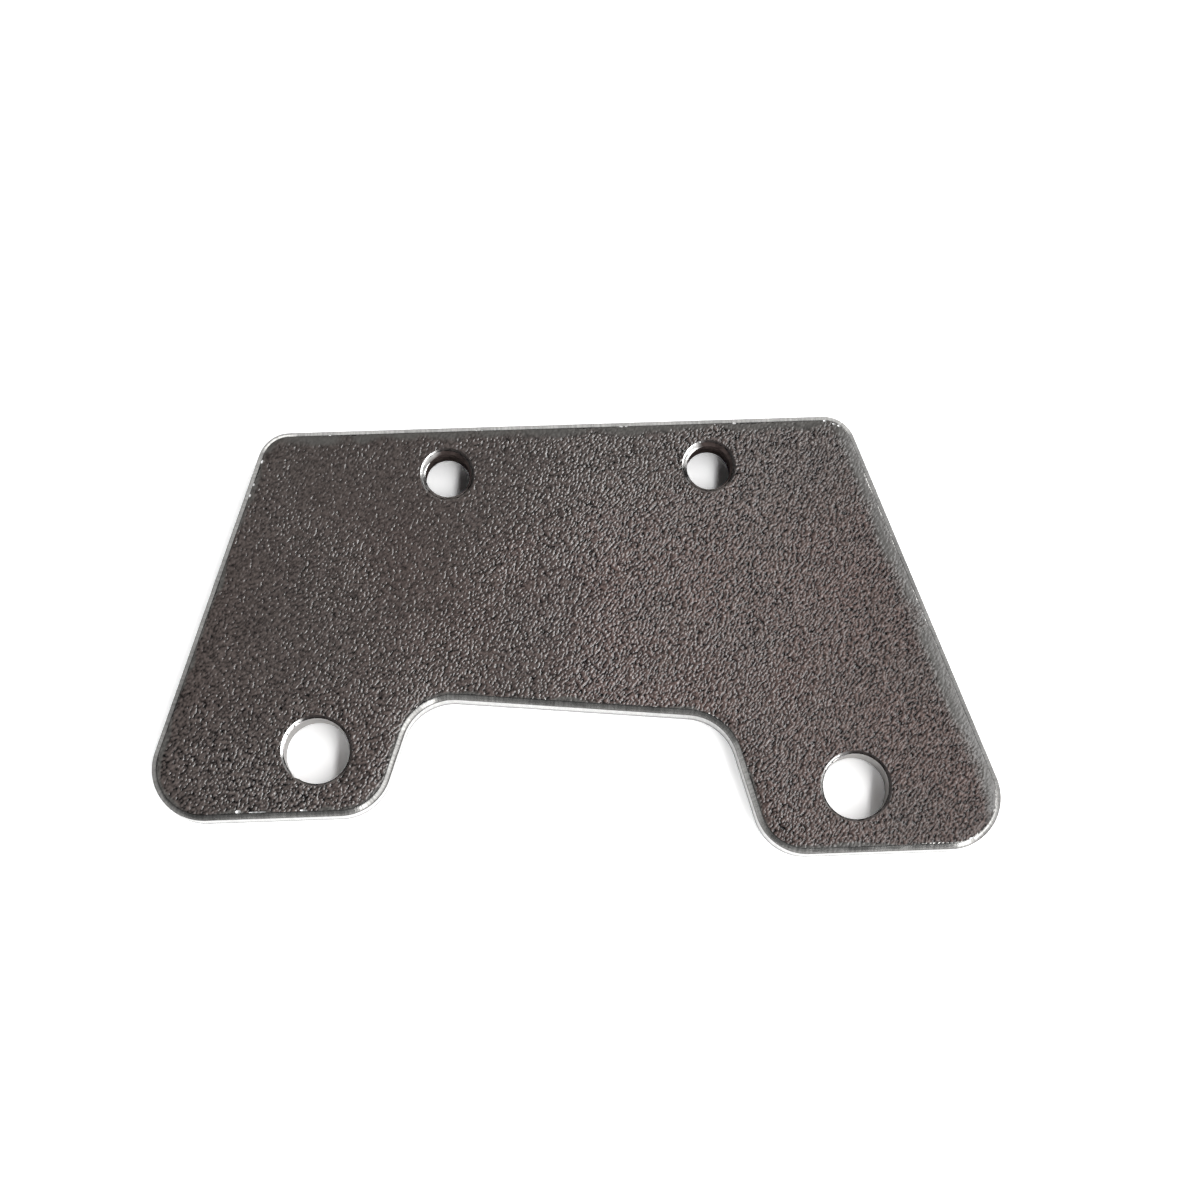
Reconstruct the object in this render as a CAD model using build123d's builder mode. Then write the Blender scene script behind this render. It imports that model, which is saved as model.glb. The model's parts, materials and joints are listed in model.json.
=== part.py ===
"""Caliper mounting bracket: one flat steel plate with a notch between two feet.

The plate is cut in one piece, chamfered round its outline on both faces, tapped
twice below its straight top edge and drilled twice in its feet. The feet are not
a matched pair: the plain holes and the notch's top edge lie on a line that drops
to the right, so the right foot reaches lower than the left one.

Frame, in millimetres: X runs along the tapped pair, Y points to the top edge and
Z is up through the plate. The origin is on the underside, midway between the
tapped holes.
"""
from build123d import *

import os
from math import cos, radians, sin, tan

# The plate
plate_thickness = 6.0
edge_chamfer = 0.8

# The two tapped holes, M8 x 1.25, left at the tap drill's size
tapped_spacing = 40.5
tap_drill_diameter = 6.8
thread_lead_in = 0.8

# The two plain holes, on a line turned clockwise from the tapped pair's
plain_spacing = 82.0
plain_diameter = 10.0
plain_rim_chamfer = 0.45
plain_line_turn = 5.75
plain_line_drop = 46.45
plain_line_shift = -0.4

# The cutting beam's start mark, a shallow V down the left plain hole's wall
start_mark_depth = 0.3
start_mark_flank = 22.5
start_mark_angle = 226.5

# The top edge, from the tapped holes to its sharp corners
top_margin = 7.55
top_left_reach = 27.85
top_right_reach = 21.65

# The feet, from their plain holes to their sharp corners
foot_margin = 10.0
left_foot_outer_reach = 28.35
left_foot_inner_reach = 9.0
right_foot_inner_reach = 13.7
right_foot_outer_reach = 25.3

# The notch, whose top edge is parallel to the plain holes' line
notch_margin = 9.25
notch_left_slope = 19.7
notch_right_slope = 15.0

# Corner radii
top_corner_radius = 5.0
foot_corner_radius = 8.0
notch_corner_radius = 8.0

# Hole centres
left_tapped_hole = Vector(-tapped_spacing / 2, 0)
right_tapped_hole = Vector(tapped_spacing / 2, 0)
plain_line_direction = Vector(cos(radians(plain_line_turn)), -sin(radians(plain_line_turn)))
plain_line_normal = Vector(sin(radians(plain_line_turn)), cos(radians(plain_line_turn)))
plain_line_middle = Vector(plain_line_shift, -plain_line_drop)
left_plain_hole = plain_line_middle - plain_line_direction * (plain_spacing / 2)
right_plain_hole = plain_line_middle + plain_line_direction * (plain_spacing / 2)

# Sharp corners of the outline. The sides lean outwards as they go down, and each
# foot's bottom edge is parallel to the top edge.
top_left = left_tapped_hole + Vector(-top_left_reach, top_margin)
top_right = right_tapped_hole + Vector(top_right_reach, top_margin)
right_foot_outer = right_plain_hole + Vector(right_foot_outer_reach, -foot_margin)
right_foot_inner = right_plain_hole + Vector(-right_foot_inner_reach, -foot_margin)
left_foot_inner = left_plain_hole + Vector(left_foot_inner_reach, -foot_margin)
left_foot_outer = left_plain_hole + Vector(-left_foot_outer_reach, -foot_margin)


def rise_to_notch(foot_corner, slope):
    """The corner where a notch wall, rising from a foot at this slope, meets the notch's top edge."""
    wall = Vector(sin(radians(slope)), cos(radians(slope)))
    notch_line_point = plain_line_middle + plain_line_normal * notch_margin
    reach = (notch_line_point - foot_corner).dot(plain_line_normal) / wall.dot(plain_line_normal)
    return foot_corner + wall * reach


notch_left = rise_to_notch(left_foot_inner, notch_left_slope)
notch_right = rise_to_notch(right_foot_inner, -notch_right_slope)

# The start mark's V, as wide at its mouth as its flanks need to come out inside the hole
start_mark_reach = plain_diameter / 2 + start_mark_depth
start_mark_mouth = plain_diameter / 2 - start_mark_depth
start_mark_half_width = (start_mark_reach - start_mark_mouth) / tan(radians(start_mark_flank))

with BuildPart() as bracket_plate:
    with BuildSketch():
        with BuildLine():
            FilletPolyline(
                top_left,
                top_right,
                right_foot_outer,
                right_foot_inner,
                notch_right,
                notch_left,
                left_foot_inner,
                left_foot_outer,
                radius=[
                    top_corner_radius,
                    top_corner_radius,
                    foot_corner_radius,
                    foot_corner_radius,
                    notch_corner_radius,
                    notch_corner_radius,
                    foot_corner_radius,
                    foot_corner_radius,
                ],
                close=True,
            )
        make_face()
    extrude(amount=plate_thickness)
    chamfer(bracket_plate.faces().filter_by(Axis.Z).edges(), edge_chamfer)

    with Locations(left_tapped_hole, right_tapped_hole):
        Hole(tap_drill_diameter / 2)
    chamfer(bracket_plate.edges(Select.LAST).filter_by(GeomType.CIRCLE), thread_lead_in)

    with Locations(left_plain_hole, right_plain_hole):
        Hole(plain_diameter / 2)
    chamfer(bracket_plate.edges(Select.LAST).filter_by(GeomType.CIRCLE), plain_rim_chamfer)

    with BuildSketch():
        with Locations(Location(left_plain_hole, (0, 0, start_mark_angle))):
            Polygon(
                (start_mark_reach, 0),
                (start_mark_mouth, start_mark_half_width),
                (start_mark_mouth, -start_mark_half_width),
                align=None,
            )
    extrude(amount=plate_thickness, mode=Mode.SUBTRACT)

bracket_plate.part.label = "bracket_plate"

os.makedirs("parts", exist_ok=True)
export_step(bracket_plate.part, "parts/bracket_plate.step")
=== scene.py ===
"""The caliper bracket's looks: one coated steel plate lying on a white sheet in window light."""
import json
from math import ceil, cos, pi, radians, sin, tan

import bmesh
import bpy
from mathutils import Matrix, Quaternion, Vector
from mathutils.geometry import intersect_line_plane


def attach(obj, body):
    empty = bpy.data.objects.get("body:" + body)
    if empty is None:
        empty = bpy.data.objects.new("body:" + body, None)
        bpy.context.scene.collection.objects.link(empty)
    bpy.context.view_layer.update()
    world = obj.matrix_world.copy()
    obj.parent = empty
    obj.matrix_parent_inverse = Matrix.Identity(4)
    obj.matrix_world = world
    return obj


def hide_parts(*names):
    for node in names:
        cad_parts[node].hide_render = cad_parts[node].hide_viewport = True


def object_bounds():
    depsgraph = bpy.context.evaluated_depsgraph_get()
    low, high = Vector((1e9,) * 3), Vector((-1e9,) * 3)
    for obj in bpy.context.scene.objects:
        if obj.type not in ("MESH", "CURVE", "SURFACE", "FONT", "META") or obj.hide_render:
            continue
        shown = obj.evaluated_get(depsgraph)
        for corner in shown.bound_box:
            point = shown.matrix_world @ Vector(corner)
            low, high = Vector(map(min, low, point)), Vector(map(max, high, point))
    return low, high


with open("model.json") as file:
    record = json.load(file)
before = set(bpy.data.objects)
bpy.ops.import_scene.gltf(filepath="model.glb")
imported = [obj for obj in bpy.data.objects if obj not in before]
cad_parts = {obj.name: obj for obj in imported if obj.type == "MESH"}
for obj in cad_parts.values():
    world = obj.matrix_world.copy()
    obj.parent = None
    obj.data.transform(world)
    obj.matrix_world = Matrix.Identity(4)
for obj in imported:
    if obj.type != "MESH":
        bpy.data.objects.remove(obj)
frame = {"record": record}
cad_low, cad_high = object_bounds()
mm = 0.001
up = Vector((0, 0, 1))

# The viewpoint. The plate is seen from above and a little from the side of its
# feet, by a lens of moderate length held close over it.
camera_place = Vector((-8.44, -98.53, 412.59)) * mm
camera_aim = Vector((2.59, -20.56, 6.0)) * mm
camera_roll = radians(6.04)
camera_lens = 81.0
camera_sensor = 36.0

camera = bpy.data.objects.new("camera", bpy.data.cameras.new("camera"))
camera.data.sensor_width = camera_sensor
camera.data.lens = camera_lens
camera.data.clip_start = 1 * mm
camera.location = camera_place
look = (camera_aim - camera_place).to_track_quat("-Z", "Y")
camera.rotation_mode = "QUATERNION"
camera.rotation_quaternion = look @ Quaternion(up, camera_roll)
bpy.context.scene.collection.objects.link(camera)
bpy.context.scene.camera = camera

# The plate is one piece of 6 mm steel, cut out along a closed line of straight
# runs and arcs and coated on both faces. Its edges are then ground to a chamfer
# by hand, so they are bare metal. Its finishes come first, then its blank.
plate = bpy.data.objects.new("coated_plate", bpy.data.meshes.new("coated_plate"))
bpy.context.scene.collection.objects.link(plate)
thickness = cad_high.z - cad_low.z
chamfer = 0.8 * mm
chamfer_width = chamfer * 2 ** 0.5
rim_band = 3.0 * mm


def fill_inputs(tree, node, inputs):
    """Fills or links a node's inputs, which are given by name or number."""
    for key, value in inputs.items():
        if isinstance(value, bpy.types.NodeSocket):
            tree.links.new(value, node.inputs[key])
        else:
            node.inputs[key].default_value = value


def add_node(tree, kind, inputs=None, **settings):
    """Adds a node, sets its options and fills its inputs."""
    made = tree.nodes.new("ShaderNode" + kind)
    for option, value in settings.items():
        setattr(made, option, value)
    fill_inputs(tree, made, inputs or {})
    return made


def add_math(tree, operation, first, second, third=0.0):
    """Adds one step of arithmetic and returns its result's socket."""
    return add_node(tree, "Math", {0: first, 1: second, 2: third}, operation=operation).outputs[0]


def add_product(tree, first, *factors):
    """Multiplies values one after another and returns the product's socket."""
    for factor in factors:
        first = add_math(tree, "MULTIPLY", first, factor)
    return first


def add_ramp(tree, value, start=0.0, end=1.0, low=0.0, high=1.0, **settings):
    """Goes from low to high while a value goes from start to end, and returns the result's socket."""
    ends = {"Value": value, "From Min": start, "From Max": end, "To Min": low, "To Max": high}
    return add_node(tree, "MapRange", ends, **settings).outputs["Result"]


def add_mix(tree, mask, first, second, blend="MIX"):
    """Goes from the first colour to the second where the mask is 1, and returns the colour's socket."""
    mixed = add_node(tree, "Mix", {"Factor": mask, 6: first, 7: second}, data_type="RGBA", blend_type=blend)
    return mixed.outputs[2]


def add_shade(tree, color, shade):
    """Multiplies a colour by a value and returns the colour's socket."""
    return add_mix(tree, 1.0, color, shade, "MULTIPLY")


def add_bump(tree, height, depth):
    """Raises the surface by this depth where the height is 1, and returns the normal's socket."""
    return add_node(tree, "Bump", {"Height": height, "Distance": depth, "Strength": 1.0}).outputs["Normal"]


def stretch(tree, vector, factors):
    """Multiplies a vector's parts by three factors and returns its socket."""
    return add_node(tree, "VectorMath", {0: vector, 1: factors}, operation="MULTIPLY").outputs["Vector"]


def split(tree, vector):
    """Takes a vector apart and returns its parts' sockets, named X, Y and Z."""
    return add_node(tree, "SeparateXYZ", {0: vector}).outputs


def new_material(name):
    """A material with an empty tree but for its Principled shader and its output."""
    material = bpy.data.materials.new(name)
    material.use_nodes = True
    tree = material.node_tree
    tree.nodes.clear()
    shader = add_node(tree, "BsdfPrincipled")
    add_node(tree, "OutputMaterial", {"Surface": shader.outputs["BSDF"]})
    return material, tree, shader


def new_group(name, **inputs):
    """A node group with these inputs, named with their kinds, and one value put out."""
    group = bpy.data.node_groups.new(name, "ShaderNodeTree")
    for label, kind in inputs.items():
        group.interface.new_socket(name=label, in_out="INPUT", socket_type="NodeSocket" + kind)
    group.interface.new_socket(name="Value", in_out="OUTPUT", socket_type="NodeSocketFloat")
    return group, group.nodes.new("NodeGroupInput").outputs, group.nodes.new("NodeGroupOutput").inputs


def use_group(tree, group, **inputs):
    """Places a node group in a material with its own values and returns what it puts out."""
    return add_node(tree, "Group", inputs, node_tree=group).outputs["Value"]


def add_finish(material):
    """Gives the plate one more material and returns its slot's number."""
    plate.data.materials.append(material)
    return len(plate.data.materials) - 1


# Uneven tone, in soft patches
patches, given, put_out = new_group("patches", Place="Vector", Scale="Float", Low="Float", High="Float")
noise = add_node(patches, "TexNoise", {"Vector": given["Place"], "Scale": given["Scale"], "Detail": 2.0})
spread = add_ramp(patches, noise.outputs["Fac"], start=0.35, end=0.65, low=given["Low"], high=given["High"])
patches.links.new(spread, put_out["Value"])

# Marks drawn out by a tool, so many to the metre each way
tool_marks, given, put_out = new_group("tool_marks", Place="Vector", Marks="Vector", Low="Float",
                                       High="Float")
drawn = stretch(tool_marks, given["Place"], given["Marks"])
noise = add_node(tool_marks, "TexNoise", {"Vector": drawn, "Scale": 1.0, "Detail": 3.0, "Roughness": 0.6})
spread = add_ramp(tool_marks, noise.outputs["Fac"], start=0.3, end=0.7, low=given["Low"], high=given["High"])
tool_marks.links.new(spread, put_out["Value"])

# The mask of edges and hole walls that face a heading, fading out to both sides of it;
# it places the painted highlights in the holes and the painted shade on the chamfers
light_heading = (0.966, -0.259, 0)
near_wall_heading = (0, 1, 0)

facing, given, put_out = new_group("facing", Normal="Vector", Heading="Vector")
level = stretch(facing, given["Normal"], (1, 1, 0))
level = add_node(facing, "VectorMath", {0: level}, operation="NORMALIZE").outputs["Vector"]
agreement = add_node(facing, "VectorMath", {0: level, 1: given["Heading"]}, operation="DOT_PRODUCT")
spread = add_ramp(facing, agreement.outputs["Value"], start=0.55, end=0.8)
facing.links.new(spread, put_out["Value"])

# The coat is baked powder, dark brown-grey and pebbled like an orange's skin, most
# softly round a calm place on the left; its pits are painted darker and its crests
# painted lighter, painted shade and painted light on the pebbles. Towards the ground
# edges it lies thinner, smooth and grey, and the grinder has bared its very edge in places.
peel_scale = 2875.0
peel_detail = 0.5
peel_distortion = 0.1
peel_middle = 0.5
peel_stretch = 1.5
peel_lean = radians(48)
peel_height = 0.16 * mm
# How strongly the relief paints the pits darker and the crests lighter, painted shade and painted light
pit_shade_contrast = 4.3
calm_pit_shade_contrast = 2.6
calm_relief = 0.62
calm_place = (-40 * mm, 4 * mm, thickness)
calm_reach = 44 * mm
edge_relief = 0.45
smooth_relief = 0.12

# The smooth rim is widest along the right edge as far as the foot's end, and wide
# along the top. Each pair gives the places between which it widens.
smooth_top = (-10 * mm, 2 * mm)
smooth_right = (25 * mm, 45 * mm)
smooth_foot = (-57 * mm, -52 * mm)
top_smoothness = 0.45
least_reach = 0.2 * rim_band
full_reach = 1.0 * rim_band
smooth_margin = 0.3 * rim_band
rim_wander = 2.2 * mm
least_wander = 0.3
wander_gain = 0.4

# The coat's colours and gloss, which change from one side of the plate to the other
coat_color = (0.0405, 0.0272, 0.0243, 1)
cool_color = (0.0345, 0.0288, 0.0266, 1)
rim_color = (0.049, 0.0468, 0.044, 1)
bared_color = (0.18, 0.176, 0.17, 1)
least_warmth = 0.2
cool_top = (-16 * mm, 2 * mm)
warm_right = (-45 * mm, 5 * mm)
left_gloss = 0.63
right_gloss = 0.27
gloss_fade = (5 * mm, 50 * mm)
bared_reach = 0.22 * mm
bared_fade = 0.06 * mm

coat, tree, shader = new_material("dark_coat")
face_slot = add_finish(coat)
place = add_node(tree, "TexCoord").outputs["Object"]
spot = split(tree, place)
edge_uv = add_node(tree, "UVMap", uv_map="along_edge").outputs["UV"]
inward = add_math(tree, "SUBTRACT", split(tree, edge_uv)["Y"], chamfer_width)

leant = add_node(tree, "VectorRotate", {"Vector": place, "Angle": -peel_lean}, rotation_type="Z_AXIS")
drawn = stretch(tree, leant.outputs["Vector"], (1 / peel_stretch, 1, 1))
peel = add_node(tree, "TexNoise", {"Vector": drawn, "Scale": peel_scale, "Detail": peel_detail,
                                   "Distortion": peel_distortion}).outputs["Fac"]

near_top = add_ramp(tree, spot["Y"], *smooth_top, 0.0, top_smoothness)
near_right = add_ramp(tree, spot["X"], *smooth_right)
near_right = add_product(tree, near_right, add_ramp(tree, spot["Y"], *smooth_foot))
smoother = add_math(tree, "MAXIMUM", near_top, near_right)
wander = use_group(tree, patches, Place=place, Scale=160.0, Low=-rim_wander, High=rim_wander)
shift = add_product(tree, wander, add_ramp(tree, inward, 0.0, rim_band, 1.0, 0.0),
                    add_math(tree, "MULTIPLY_ADD", smoother, wander_gain, least_wander))
full = add_ramp(tree, add_math(tree, "ADD", inward, shift),
                start=add_math(tree, "MULTIPLY", smoother, smooth_margin),
                end=add_ramp(tree, smoother, low=least_reach, high=full_reach),
                interpolation_type="SMOOTHSTEP")
thin_relief = add_ramp(tree, smoother, low=edge_relief, high=smooth_relief)
rough_patch = use_group(tree, patches, Place=place, Scale=55.0, Low=0.85, High=1.2)
from_calm = add_node(tree, "VectorMath", {0: place, 1: calm_place}, operation="DISTANCE").outputs["Value"]
lively = add_math(tree, "DIVIDE", from_calm, calm_reach)
strength = add_product(tree, add_ramp(tree, full, low=thin_relief), rough_patch,
                       add_ramp(tree, lively, low=calm_relief))
relief = add_math(tree, "MULTIPLY", add_math(tree, "SUBTRACT", peel, peel_middle), strength)

brown = use_group(tree, patches, Place=place, Scale=70.0, Low=0.35, High=0.9)
warmth = add_product(tree, brown, add_ramp(tree, spot["Y"], *cool_top, 1.0, least_warmth),
                     add_ramp(tree, spot["X"], *warm_right, least_warmth, 1.0))
tint = add_mix(tree, full, rim_color, add_mix(tree, warmth, cool_color, coat_color))
# Painted shade in the pits and painted light on the crests: the colour follows the relief, more softly round
# the calm place
pit_shading = add_ramp(tree, lively, low=calm_pit_shade_contrast, high=pit_shade_contrast)
pit_shaded_tint = add_shade(tree, tint, add_math(tree, "MULTIPLY_ADD", relief, pit_shading, 1.0))

worn = use_group(tree, patches, Place=edge_uv, Scale=110.0, Low=-bared_reach, High=bared_reach)
ragged = use_group(tree, tool_marks, Place=edge_uv, Marks=(3500, 300, 0), Low=-bared_reach / 2,
                   High=bared_reach / 2)
left_on = add_math(tree, "SUBTRACT", inward, add_math(tree, "ADD", worn, ragged))
bared = add_ramp(tree, left_on, 0.0, bared_fade, 1.0, 0.0)
fill_inputs(tree, shader, {
    "Base Color": add_mix(tree, bared, pit_shaded_tint, bared_color),
    "Metallic": bared,
    "Roughness": 0.2,
    "Specular IOR Level": add_ramp(tree, spot["X"], *gloss_fade, left_gloss, right_gloss),
    "Normal": add_bump(tree, relief, peel_height),
})

# The chamfer is bare steel, ground by hand, with marks across it and a painted
# shade line along both its edges. It is darker towards the left side, is painted
# darker where it faces the lights, a painted shade, and has a painted highlight,
# a bright sliver, round the top left corner.
steel_color = (0.23, 0.227, 0.22, 1)
# The colour darkens towards the left side
darker_towards_left = (-60 * mm, -42 * mm)
leftmost_tone = 0.55
# Painted shade lines along the chamfer's outer and inner edges
outer_shade_line_fade = (0.05 * mm, 0.3 * mm)
outer_shade_line_tone = 0.35
inner_shade_line_width = 0.14 * mm
inner_shade_line_tone = 0.4
# Painted shade: how much the colour darkens where the chamfer faces the lights, from left to right
painted_dimming_fade = (-10 * mm, 15 * mm)
left_painted_dimming = -0.66
right_painted_dimming = -0.42
# A painted highlight: a bright strip painted along the chamfer round the top left corner
highlight_start = (0.3 * mm, 1.3 * mm)
highlight_end = (6.0 * mm, 7.5 * mm)
highlight_inside = (0.5 * mm, 0.65 * mm)
highlight_gain = 2.2
grind_relief = 0.012 * mm

ground, tree, shader = new_material("ground_steel")
chamfer_slot = add_finish(ground)
texture = add_node(tree, "TexCoord").outputs
spot_x = split(tree, texture["Object"])["X"]
edge_uv = add_node(tree, "UVMap", uv_map="along_edge").outputs["UV"]
edge = split(tree, edge_uv)
marks = use_group(tree, tool_marks, Place=edge_uv, Marks=(2600, 260, 0), Low=0.65, High=1.35)
tone = use_group(tree, patches, Place=edge_uv, Scale=90.0, Low=0.8, High=1.2)
left_darkening = add_ramp(tree, spot_x, *darker_towards_left, leftmost_tone, 1.0)
from_inside = add_math(tree, "SUBTRACT", chamfer_width, edge["Y"])
# Painted shade lines along both edges
outer_shade_line = add_ramp(tree, edge["Y"], *outer_shade_line_fade, outer_shade_line_tone, 1.0)
inner_shade_line = add_ramp(tree, from_inside, 0.0, inner_shade_line_width, inner_shade_line_tone, 1.0)
# Painted shade where the chamfer faces the lights
facing_lights = use_group(tree, facing, Normal=texture["Normal"], Heading=light_heading)
painted_dimming = add_ramp(tree, spot_x, *painted_dimming_fade, left_painted_dimming, right_painted_dimming)
painted_shade_facing_lights = add_math(tree, "MULTIPLY_ADD", facing_lights, painted_dimming, 1.0)
# The painted highlight round the top left corner
sliver = add_product(tree, add_ramp(tree, edge["X"], *highlight_start),
                     add_ramp(tree, edge["X"], *highlight_end, 1.0, 0.0),
                     add_ramp(tree, edge["Y"], *highlight_inside))
painted_highlight_and_shade = add_math(tree, "MULTIPLY_ADD", sliver, highlight_gain, painted_shade_facing_lights)
shade = add_product(tree, marks, tone, left_darkening, painted_highlight_and_shade, outer_shade_line, inner_shade_line)
fill_inputs(tree, shader, {
    "Base Color": add_shade(tree, steel_color, shade),
    "Metallic": 1.0,
    "Roughness": use_group(tree, patches, Place=edge_uv, Scale=300.0, Low=0.17, High=0.3),
    "Normal": add_bump(tree, marks, grind_relief),
})

# The wall was left as the cutting beam made it: bright, with fine lines down it,
# and painted dark towards the underside, a painted contact shadow along its foot.
wall_color = (0.6, 0.595, 0.585, 1)
# The painted contact shadow: darkest below its bottom height, fading out by its top height
contact_shade_top = 2.4 * mm
contact_shade_bottom = 1.6 * mm
contact_shade_tone = 0.12
beam_relief = 0.02 * mm

wall, tree, shader = new_material("cut_wall")
wall_slot = add_finish(wall)
wall_z = split(tree, add_node(tree, "TexCoord").outputs["Object"])["Z"]
along = split(tree, add_node(tree, "UVMap", uv_map="along_edge").outputs["UV"])["X"]
unrolled = add_node(tree, "CombineXYZ", {"X": along, "Y": wall_z}).outputs["Vector"]
marks = use_group(tree, tool_marks, Place=unrolled, Marks=(2200, 140, 0), Low=0.8, High=1.1)
# Painted contact shadow towards the underside
contact_shaded = add_ramp(tree, wall_z, contact_shade_bottom, contact_shade_top, contact_shade_tone, 1.0)
fill_inputs(tree, shader, {
    "Base Color": add_shade(tree, wall_color, add_math(tree, "MULTIPLY", marks, contact_shaded)),
    "Metallic": 1.0,
    "Roughness": 0.26,
    "Normal": add_bump(tree, marks, beam_relief),
})

# The blank. Its top corners and feet are set from the holes that they carry,
# and the notch's top edge follows the line of the plain holes.
edge_round = 0.12 * mm
edge_round_steps = 2
arc_step = radians(3)

hole_places = {mount["name"]: Vector((mount["pos_m"][0], mount["pos_m"][1], 0))
               for mount in frame["record"]["mounts"]}
top_margin = 7.55 * mm
top_left_reach = 27.85 * mm
top_right_reach = 21.65 * mm
foot_margin = 10.0 * mm
left_foot_outer_reach = 28.35 * mm
left_foot_inner_reach = 9.0 * mm
right_foot_inner_reach = 13.7 * mm
right_foot_outer_reach = 25.3 * mm
notch_margin = 9.25 * mm
notch_left_slope = radians(19.7)
notch_right_slope = radians(15.0)
top_corner_radius = 5.0 * mm
foot_corner_radius = 8.0 * mm
notch_corner_radius = 8.0 * mm

tapped_left, tapped_right = hole_places["tapped_left"], hole_places["tapped_right"]
plain_left, plain_right = hole_places["plain_left"], hole_places["plain_right"]
plain_line = (plain_right - plain_left).normalized()
plain_normal = up.cross(plain_line)
notch_edge = plain_left + plain_normal * notch_margin

left_foot_inner = plain_left + Vector((left_foot_inner_reach, -foot_margin, 0))
right_foot_inner = plain_right + Vector((-right_foot_inner_reach, -foot_margin, 0))


def rise_to_notch(foot_corner, slope):
    """The corner where a notch wall, rising from a foot at this slope, meets the notch's top edge."""
    side = Vector((sin(slope), cos(slope), 0))
    return intersect_line_plane(foot_corner, foot_corner + side, notch_edge, plain_normal)


corners = (
    (tapped_left + Vector((-top_left_reach, top_margin, 0)), top_corner_radius),
    (tapped_right + Vector((top_right_reach, top_margin, 0)), top_corner_radius),
    (plain_right + Vector((right_foot_outer_reach, -foot_margin, 0)), foot_corner_radius),
    (right_foot_inner, foot_corner_radius),
    (rise_to_notch(right_foot_inner, -notch_right_slope), notch_corner_radius),
    (rise_to_notch(left_foot_inner, notch_left_slope), notch_corner_radius),
    (left_foot_inner, foot_corner_radius),
    (plain_left + Vector((-left_foot_outer_reach, -foot_margin, 0)), foot_corner_radius),
)


def draw_outline(bm, height):
    """Draws the closed outline at this height, arc by arc, and fills it with one face."""
    vert = None
    for index, (corner, radius) in enumerate(corners):
        back = (corners[index - 1][0] - corner).normalized()
        ahead = (corners[(index + 1) % len(corners)][0] - corner).normalized()
        opening = back.angle(ahead)
        lift = up * height
        arc_start = corner + back * radius / tan(opening / 2) + lift
        centre = corner + (back + ahead).normalized() * radius / sin(opening / 2) + lift
        if vert is None:
            first = vert = bm.verts.new(arc_start)
        else:
            vert = bmesh.ops.extrude_vert_indiv(bm, verts=[vert])["verts"][0]
            vert.co = arc_start
        turn = pi - opening
        side = 1 if back.cross(ahead).z < 0 else -1
        spun = bmesh.ops.spin(bm, geom=[vert], cent=centre, axis=up, angle=side * turn,
                              steps=ceil(turn / arc_step))
        vert = next(item for item in spun["geom_last"] if isinstance(item, bmesh.types.BMVert))
    bm.edges.new((vert, first))
    return first, bmesh.ops.contextual_create(bm, geom=bm.edges[:])["faces"][0]


def measure_run(first, layer):
    """Writes each outline point's distance from the first one, along the outline, into a layer."""
    vert, edge, run = first, first.link_edges[0], 0.0
    while run == 0.0 or vert != first:
        vert[layer] = run
        run += edge.calc_length()
        vert = edge.other_vert(vert)
        edge = next(other for other in vert.link_edges if other != edge)
    return run


bm = bmesh.new()
run_layer = bm.verts.layers.float.new("run")
across_layer = bm.verts.layers.float.new("across")
round_reach = edge_round * tan(pi / 8)
wall_end = chamfer + round_reach
first_point, lower_cap = draw_outline(bm, wall_end)
outline_length = measure_run(first_point, run_layer)
grown = bmesh.ops.extrude_face_region(bm, geom=[lower_cap])["geom"]
upper_cap = next(item for item in grown if isinstance(item, bmesh.types.BMFace))
bmesh.ops.translate(bm, verts=upper_cap.verts[:], vec=up * (thickness - 2 * wall_end))
bmesh.ops.recalc_face_normals(bm, faces=bm.faces[:])
for face in bm.faces:
    face.material_index = wall_slot

bend = pi / 4 / edge_round_steps
chord = 2 * edge_round * sin(bend / 2)
lower_round = [(chord, bend * (step + 0.5)) for step in range(edge_round_steps)]
upper_round = [(chord, angle + pi / 4) for chord, angle in lower_round]
grind = [(chamfer_width - 2 * round_reach, pi / 4)]
for cap in (upper_cap, lower_cap):
    reached = 0.0
    for length, angle in lower_round + grind + upper_round:
        ring = bmesh.ops.inset_region(bm, faces=[cap], thickness=length * sin(angle),
                                      depth=length * cos(angle), use_even_offset=True)
        reached += length
        for vert in cap.verts:
            vert[across_layer] = reached
        for face in ring["faces"]:
            face.material_index = chamfer_slot
    ring = bmesh.ops.inset_region(bm, faces=[cap], thickness=rim_band, use_even_offset=True)
    for vert in cap.verts:
        vert[across_layer] = reached + rim_band
    for face in ring["faces"] + [cap]:
        face.material_index = face_slot

along_edge = bm.loops.layers.uv.new("along_edge")
for face in bm.faces:
    runs = [loop.vert[run_layer] for loop in face.loops]
    crosses_start = len(runs) == 4 and max(runs) - min(runs) > outline_length / 2
    for loop, run in zip(face.loops, runs):
        if crosses_start and run == 0.0:
            run = outline_length
        loop[along_edge].uv = (run, loop.vert[across_layer])
bm.to_mesh(plate.data)
bm.free()


def work(tool_bm, slot=None, operation="DIFFERENCE"):
    """Cuts a closed shape out of the plate, or joins it on, and frees the shape."""
    bmesh.ops.recalc_face_normals(tool_bm, faces=tool_bm.faces[:])
    if slot is not None:
        for face in tool_bm.faces:
            face.material_index = slot
    tool = bpy.data.objects.new("tool", bpy.data.meshes.new("tool"))
    tool_bm.to_mesh(tool.data)
    tool_bm.free()
    for material in plate.data.materials:
        tool.data.materials.append(material)
    bpy.context.scene.collection.objects.link(tool)
    step = plate.modifiers.new("step", "BOOLEAN")
    step.operation = operation
    step.solver = "EXACT"
    step.object = tool
    depsgraph = bpy.context.evaluated_depsgraph_get()
    worked = bpy.data.meshes.new_from_object(plate.evaluated_get(depsgraph))
    plate.modifiers.remove(step)
    plate.data = worked
    bpy.data.objects.remove(tool)


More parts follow.
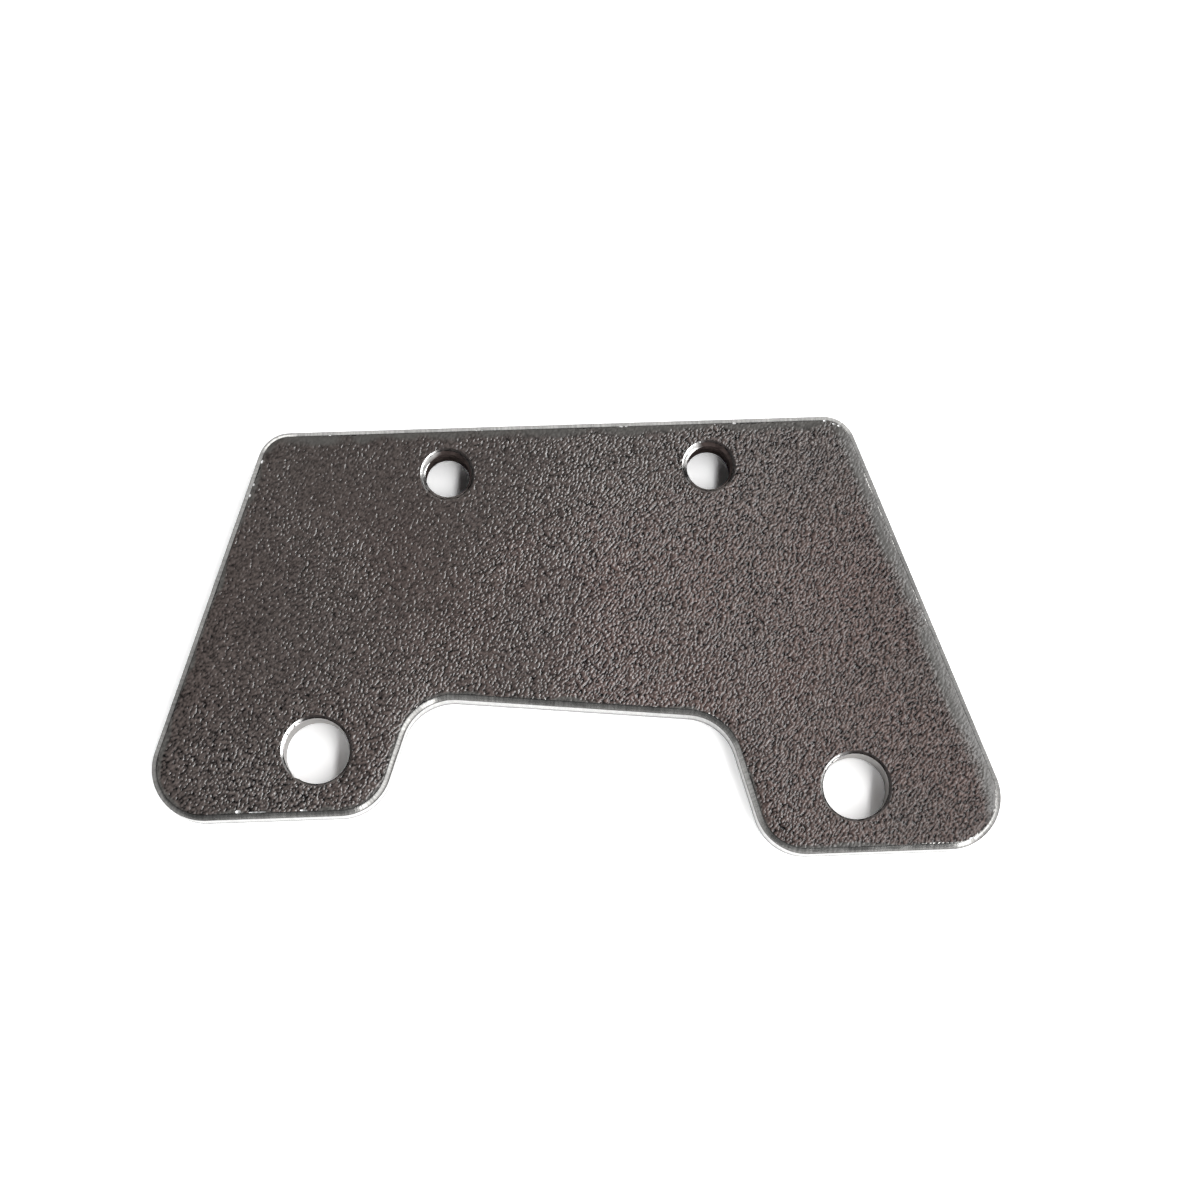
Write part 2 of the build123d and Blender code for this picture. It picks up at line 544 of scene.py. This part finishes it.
# A countersink is painted bright where it faces the lights, a painted highlight,
# dark with oil elsewhere and a little paler on its near side. A dark ragged line
# round it is a painted shadow.
sunk_color = (0.02, 0.0165, 0.0155, 1)
near_color = (0.07, 0.062, 0.058, 1)
painted_highlight_color = (0.33, 0.325, 0.32, 1)
# The painted shadow line round the countersink
shadow_line_z = thickness - 0.34 * mm
shadow_line_fade = (0.04 * mm, 0.1 * mm)
shadow_line_tone = 0.05
shadow_line_wander = 0.1 * mm

countersunk, tree, shader = new_material("countersunk_rim")
sunk_slot = add_finish(countersunk)
texture = add_node(tree, "TexCoord").outputs
marks = use_group(tree, tool_marks, Place=texture["Object"], Marks=(150, 150, 2400), Low=0.75, High=1.15)
# Painted highlight where the countersink faces the lights
highlight_mask = use_group(tree, facing, Normal=texture["Normal"], Heading=light_heading)
near = use_group(tree, facing, Normal=texture["Normal"], Heading=near_wall_heading)
sunk_tone = add_mix(tree, highlight_mask, add_mix(tree, near, sunk_color, near_color), painted_highlight_color)
# The painted shadow line, made ragged
ragged = use_group(tree, patches, Place=texture["Object"], Scale=1800.0, Low=-shadow_line_wander,
                   High=shadow_line_wander)
height = add_math(tree, "ADD", split(tree, texture["Object"])["Z"], ragged)
from_shadow_line = add_math(tree, "ABSOLUTE", add_math(tree, "SUBTRACT", height, shadow_line_z), 0.0)
shadow_line = add_ramp(tree, from_shadow_line, *shadow_line_fade, shadow_line_tone, 1.0)
fill_inputs(tree, shader, {
    "Base Color": add_shade(tree, sunk_tone, add_math(tree, "MULTIPLY", marks, shadow_line)),
    "Metallic": highlight_mask,
    "Roughness": 0.22,
    "Specular IOR Level": 0.2,
})

# The plain holes are drilled through each foot for the bolts that carry the
# plate, and both their rims are just broken with a small countersink. Their
# wall shows the drill's fine rings.
plain_radius = 5.0 * mm
plain_rim_chamfer = 0.45 * mm
drill_steps = 120
smallest_gap = 0.001 * mm
shank_tolerance = 0.01 * mm
drilled_color = (0.44, 0.42, 0.405, 1)
drill_relief = 0.01 * mm

drilled, tree, shader = new_material("drilled_wall")
drilled_slot = add_finish(drilled)
place = add_node(tree, "TexCoord").outputs["Object"]
marks = use_group(tree, tool_marks, Place=place, Marks=(120, 120, 3200), Low=0.75, High=1.2)
fill_inputs(tree, shader, {
    "Base Color": add_shade(tree, drilled_color, marks),
    "Metallic": 1.0,
    "Roughness": 0.34,
    "Normal": add_bump(tree, marks, drill_relief),
})


def drill(centre, radius, sink, shank_slot, overrun=1 * mm):
    """A drill's shape: a straight shank between the two cones of its countersinks."""
    bm = bmesh.new()
    outline = (
        (0, -overrun),
        (radius + sink + overrun, -overrun),
        (radius, sink),
        (radius, thickness - sink),
        (radius + sink + overrun, thickness + overrun),
        (0, thickness + overrun),
    )
    verts = [bm.verts.new(centre + Vector((reach, 0, height))) for reach, height in outline]
    edges = [bm.edges.new(pair) for pair in zip(verts, verts[1:])]
    bmesh.ops.spin(bm, geom=verts + edges, cent=centre, axis=up, angle=2 * pi, steps=drill_steps,
                   use_merge=True)
    bmesh.ops.remove_doubles(bm, verts=bm.verts[:], dist=smallest_gap)
    for face in bm.faces:
        shank = all(abs((vert.co - centre).xy.length - radius) < shank_tolerance for vert in face.verts)
        face.material_index = shank_slot if shank else sunk_slot
    return bm


for hole in (plain_left, plain_right):
    work(drill(hole, plain_radius, plain_rim_chamfer, drilled_slot))

# The tapped holes take M8 x 1.25 screws. They are drilled, countersunk to just
# past the thread's width, and tapped right through with a right-hand thread,
# which is dark with old cutting oil. Each thread runs out in its countersink.
tap_drill_radius = 3.4 * mm
thread_lead_in = 0.8 * mm
thread_pitch = 1.25 * mm
thread_radius = 4.0 * mm
thread_pitch_radius = 3.594 * mm
thread_groove_start = 3.3 * mm
thread_steps = 64
flank_slope = tan(radians(30))
left_thread_turn = radians(-38)
right_thread_turn = radians(-80)
oiled_color = (0.031, 0.024, 0.0222, 1)
# How deep the painted highlight reaches from each mouth
mouth_highlight_depth = 0.9 * mm

oiled, tree, shader = new_material("oiled_thread")
oiled_slot = add_finish(oiled)
texture = add_node(tree, "TexCoord").outputs
tone = use_group(tree, patches, Place=texture["Object"], Scale=900.0, Low=0.6, High=1.4)
above_middle = add_math(tree, "SUBTRACT", split(tree, texture["Object"])["Z"], thickness / 2)
from_middle = add_math(tree, "ABSOLUTE", above_middle, 0.0)
# A painted highlight: the thread is painted bright near its mouths where it faces the lights, and stays dark
# deeper down
highlight_mask = use_group(tree, facing, Normal=texture["Normal"], Heading=light_heading)
near_mouth = add_ramp(tree, from_middle, thickness / 2 - mouth_highlight_depth, thickness / 2 - mouth_highlight_depth / 2)
mouth_highlight = add_product(tree, near_mouth, highlight_mask)
fill_inputs(tree, shader, {
    "Base Color": add_shade(tree, add_mix(tree, mouth_highlight, oiled_color, painted_highlight_color), tone),
    "Metallic": mouth_highlight,
    "Roughness": 0.45,
    "Specular IOR Level": 0.0,
})


def tap(centre, start_turn):
    """A tap's shape: one coil of the thread's groove, from below the plate to above it."""
    bm = bmesh.new()

    def half_width(radius):
        return thread_pitch / 4 - (radius - thread_pitch_radius) * flank_slope

    section = [
        (thread_groove_start, -half_width(thread_groove_start)),
        (thread_radius, -half_width(thread_radius)),
        (thread_radius, half_width(thread_radius)),
        (thread_groove_start, half_width(thread_groove_start)),
    ]
    verts = [bm.verts.new(centre + Vector((reach, 0, height - thread_pitch))) for reach, height in section]
    face = bm.faces.new(verts)
    turns = ceil(thickness / thread_pitch) + 2
    bmesh.ops.spin(bm, geom=[face] + face.edges[:] + face.verts[:], cent=centre, axis=up,
                   dvec=up * thread_pitch / thread_steps, angle=2 * pi * turns, steps=thread_steps * turns)
    bmesh.ops.rotate(bm, verts=bm.verts[:], cent=centre, matrix=Matrix.Rotation(start_turn, 3, up))
    return bm


for hole, start_turn in ((tapped_left, left_thread_turn), (tapped_right, right_thread_turn)):
    work(drill(hole, tap_drill_radius, thread_lead_in, oiled_slot))
    work(tap(hole, start_turn), oiled_slot)

# The start mark is where the beam began its cut: a shallow V down the wall of
# the left plain hole, at the lower left.
start_mark_depth = 0.3 * mm
start_mark_flank = radians(22.5)
start_mark_angle = radians(226.5)

bm = bmesh.new()
mark_half_width = 2 * start_mark_depth / tan(start_mark_flank)
mark_outline = (
    (start_mark_depth, 0),
    (-start_mark_depth, mark_half_width),
    (-start_mark_depth, -mark_half_width),
)
mark = bm.faces.new([bm.verts.new(Vector((plain_radius + x, y, -thickness))) for x, y in mark_outline])
grown = bmesh.ops.extrude_face_region(bm, geom=[mark])["geom"]
bmesh.ops.translate(bm, verts=[item for item in grown if isinstance(item, bmesh.types.BMVert)],
                    vec=up * 3 * thickness)
bmesh.ops.rotate(bm, verts=bm.verts[:], matrix=Matrix.Rotation(start_mark_angle, 3, up))
bmesh.ops.translate(bm, verts=bm.verts[:], vec=plain_left)
work(bm, drilled_slot)

# Wear. Handling has left small nicks where the chamfer meets the face, most of
# them along the top and right edges, and one flake of coat is off the left foot.
# Each nick is a shallow dent, given by its place, width and length in
# millimetres and its heading in degrees.
nicks = (
    (-38.25, 6.9, 0.35, 0.6, 0), (-15.6, 6.95, 0.4, 1.0, 0), (-14.7, 6.9, 0.3, 0.5, 0),
    (6.9, 6.8, 0.35, 0.7, 0), (7.7, 6.85, 0.3, 0.5, 0), (24.5, 6.75, 0.3, 0.6, 0),
    (38.6, 6.65, 0.35, 0.5, 0), (40.0, 6.1, 0.35, 0.5, -20), (40.8, 5.75, 0.35, 0.6, -35),
    (48.0, -11.8, 0.35, 0.7, -70),
    (55.7, -33.0, 0.3, 0.7, -70), (57.1, -37.2, 0.35, 0.8, -70), (61.0, -48.8, 0.3, 0.6, -75),
    (57.4, -59.1, 0.3, 0.7, 15), (-53.15, -51.25, 0.55, 0.85, 5), (-50.2, -51.4, 0.25, 2.6, 0),
    (-43.3, -51.35, 0.3, 1.1, 0), (15.6, -39.3, 0.3, 0.6, -6), (17.1, -39.9, 0.35, 0.7, -20),
    (18.0, -40.7, 0.3, 0.5, -40), (-48.8, 2.9, 0.3, 0.6, 70), (-50.15, -0.7, 0.3, 0.5, 70),
    (-50.75, -2.4, 0.3, 0.5, 70),
)
nick_depth = 0.12

fresh, tree, shader = new_material("fresh_metal")
fresh_slot = add_finish(fresh)
place = add_node(tree, "TexCoord").outputs["Object"]
tone = use_group(tree, patches, Place=place, Scale=2500.0, Low=0.4, High=0.95)
grey = add_node(tree, "CombineColor", {0: tone, 1: tone, 2: tone}).outputs["Color"]
fill_inputs(tree, shader, {"Base Color": grey, "Metallic": 1.0, "Roughness": 0.5})

bm = bmesh.new()
for x, y, width, length, heading in nicks:
    radius = (width ** 2 / 4 + nick_depth ** 2) / (2 * nick_depth)
    centre = Vector((x, y, thickness / mm + radius - nick_depth)) * mm
    ball = bmesh.ops.create_icosphere(bm, subdivisions=3, radius=radius * mm)
    bmesh.ops.scale(bm, verts=ball["verts"], vec=(length / width, 1, 1))
    bmesh.ops.rotate(bm, verts=ball["verts"], matrix=Matrix.Rotation(radians(heading), 3, up))
    bmesh.ops.translate(bm, verts=ball["verts"], vec=centre)
work(bm, fresh_slot)

# Burrs: slivers of steel that the countersink turned up and nobody took off, on
# the upper left of both tapped holes' rims and of the right plain hole's. Each is
# given by its angle round the hole and its length in millimetres.
burr_width = 0.27
burr_flatness = 0.8
burr_sink = burr_flatness * burr_width * mm
tapped_rim = tap_drill_radius + thread_lead_in
plain_rim = plain_radius + plain_rim_chamfer
burrs = (
    (tapped_left, tapped_rim, ((121, 0.5), (134, 0.7), (148, 0.9), (163, 0.6), (175, 0.7))),
    (tapped_right, tapped_rim, ((108, 0.5), (122, 0.8), (133, 0.5), (146, 0.9), (160, 0.5))),
    (plain_right, plain_rim, ((118, 0.6), (129, 0.9), (139, 0.6))),
)

bm = bmesh.new()
for hole, radius, slivers in burrs:
    for angle, length in slivers:
        sliver = bmesh.ops.create_icosphere(bm, subdivisions=2, radius=burr_width * mm)
        bmesh.ops.scale(bm, verts=sliver["verts"], vec=(1, length / burr_width / 2, burr_flatness))
        bmesh.ops.translate(bm, verts=sliver["verts"], vec=(radius, 0, thickness - burr_sink))
        bmesh.ops.rotate(bm, verts=sliver["verts"], matrix=Matrix.Rotation(radians(angle), 3, up))
        bmesh.ops.translate(bm, verts=sliver["verts"], vec=hole)
work(bm, fresh_slot, "UNION")

# Only the plate's curves are shaded smooth, and its edges stay sharp
sharp_angle = radians(12)

for polygon in plate.data.polygons:
    polygon.use_smooth = True
plate.data.set_sharp_from_angle(angle=sharp_angle)
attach(plate, "root")
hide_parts("bracket_plate")

# The sheet that the plate lies on is plain white paper. To the camera it is a
# little brighter than it lights the plate, so that it stays white round it.
floor_reach = 0.6
sheet_color = (0.95, 0.95, 0.95, 1)
sheet_seen_color = (1.22, 1.22, 1.22, 1)

bm = bmesh.new()
bmesh.ops.create_grid(bm, x_segments=1, y_segments=1, size=floor_reach)
floor = bpy.data.objects.new("floor", bpy.data.meshes.new("floor"))
bm.to_mesh(floor.data)
bm.free()
bpy.context.scene.collection.objects.link(floor)


def seen_rays(tree):
    """The mask of the rays that show a background: the camera's, and those in metal and glass."""
    path = add_node(tree, "LightPath").outputs
    shown = add_math(tree, "MAXIMUM", path["Is Camera Ray"], path["Is Glossy Ray"])
    return add_math(tree, "MAXIMUM", shown, path["Is Transmission Ray"])


sheet = bpy.data.materials.new("white_sheet")
sheet.use_nodes = True
tree = sheet.node_tree
tree.nodes.clear()
to_camera = add_node(tree, "LightPath").outputs["Is Camera Ray"]
matt = add_node(tree, "BsdfDiffuse", {"Color": add_mix(tree, to_camera, sheet_color, sheet_seen_color)})
add_node(tree, "OutputMaterial", {"Surface": matt.outputs["BSDF"]})
floor.data.materials.append(sheet)


# The light. A long skylight stands high on the right, a low one shines along
# the sheet from the lower right, and the pale room gives the rest.
def add_light(name, elevation, azimuth, distance, length, width, power):
    """A rectangular light facing the plate, its length level, at this height and heading."""
    heading = Vector((cos(elevation) * cos(azimuth), cos(elevation) * sin(azimuth), sin(elevation)))
    light = bpy.data.objects.new(name, bpy.data.lights.new(name, "AREA"))
    light.data.shape = "RECTANGLE"
    light.data.size = length
    light.data.size_y = width
    light.data.energy = power
    light.location = heading * distance
    light.rotation_mode = "QUATERNION"
    light.rotation_quaternion = heading.to_track_quat("Z", "Y")
    bpy.context.scene.collection.objects.link(light)


add_light("skylight", elevation=radians(68), azimuth=radians(-8), distance=2.5, length=2.9, width=0.32,
          power=45.0)
add_light("low_light", elevation=radians(10), azimuth=radians(-30), distance=1.2, length=2.1, width=0.36,
          power=26.0)

# The ceiling and the space behind the camera are darker than the rest of the
# room, which the plate's face and the chamfers of its feet show.
ceiling_height = 0.9
ceiling_left = (-1.0, 0.23)
ceiling_right = (0.5, 1.05)
ceiling_near = -0.7
ceiling_far = 1.0
ceiling_glow = 0.06
viewer_box = (-1.5, 0.2, 0.0, 0.95)
viewer_distance = 0.6
viewer_glow = 0.4


def add_panel(name, glow, points):
    """A dim panel of the room, glowing this little, which the camera doesn't see."""
    dim = bpy.data.materials.new(name)
    dim.use_nodes = True
    dim.node_tree.nodes.clear()
    glowing = add_node(dim.node_tree, "Emission", {"Strength": glow})
    add_node(dim.node_tree, "OutputMaterial", {"Surface": glowing.outputs["Emission"]})
    bm = bmesh.new()
    bm.faces.new([bm.verts.new(point) for point in points])
    panel = bpy.data.objects.new(name, bpy.data.meshes.new(name))
    bm.to_mesh(panel.data)
    bm.free()
    bpy.context.scene.collection.objects.link(panel)
    panel.data.materials.append(dim)
    panel.visible_camera = False
    return panel


for name, (left, right) in (("ceiling_left", ceiling_left), ("ceiling_right", ceiling_right)):
    add_panel(name, ceiling_glow, [(x, y, ceiling_height) for x, y in (
        (left, ceiling_near), (left, ceiling_far), (right, ceiling_far), (right, ceiling_near))])
left, right, low, high = viewer_box
behind = add_panel("behind_camera", viewer_glow, [(x, -viewer_distance, z) for x, z in (
    (left, low), (right, low), (right, high), (left, high))])
behind.visible_diffuse = False
behind.visible_shadow = False

room_strength = 2.5
world = bpy.data.worlds.new("room")
bpy.context.scene.world = world
world.use_nodes = True
tree = world.node_tree
tree.nodes.clear()
room = add_node(tree, "Background", {"Strength": room_strength})
white = add_node(tree, "Background", {"Strength": 1.0})
room.inputs["Color"].default_value = white.inputs["Color"].default_value = (1, 1, 1, 1)
mixed = add_node(tree, "MixShader", {0: seen_rays(tree), 1: room.outputs[0], 2: white.outputs[0]})
add_node(tree, "OutputWorld", {"Surface": mixed.outputs[0]})

bpy.context.scene.view_settings.view_transform = "Standard"
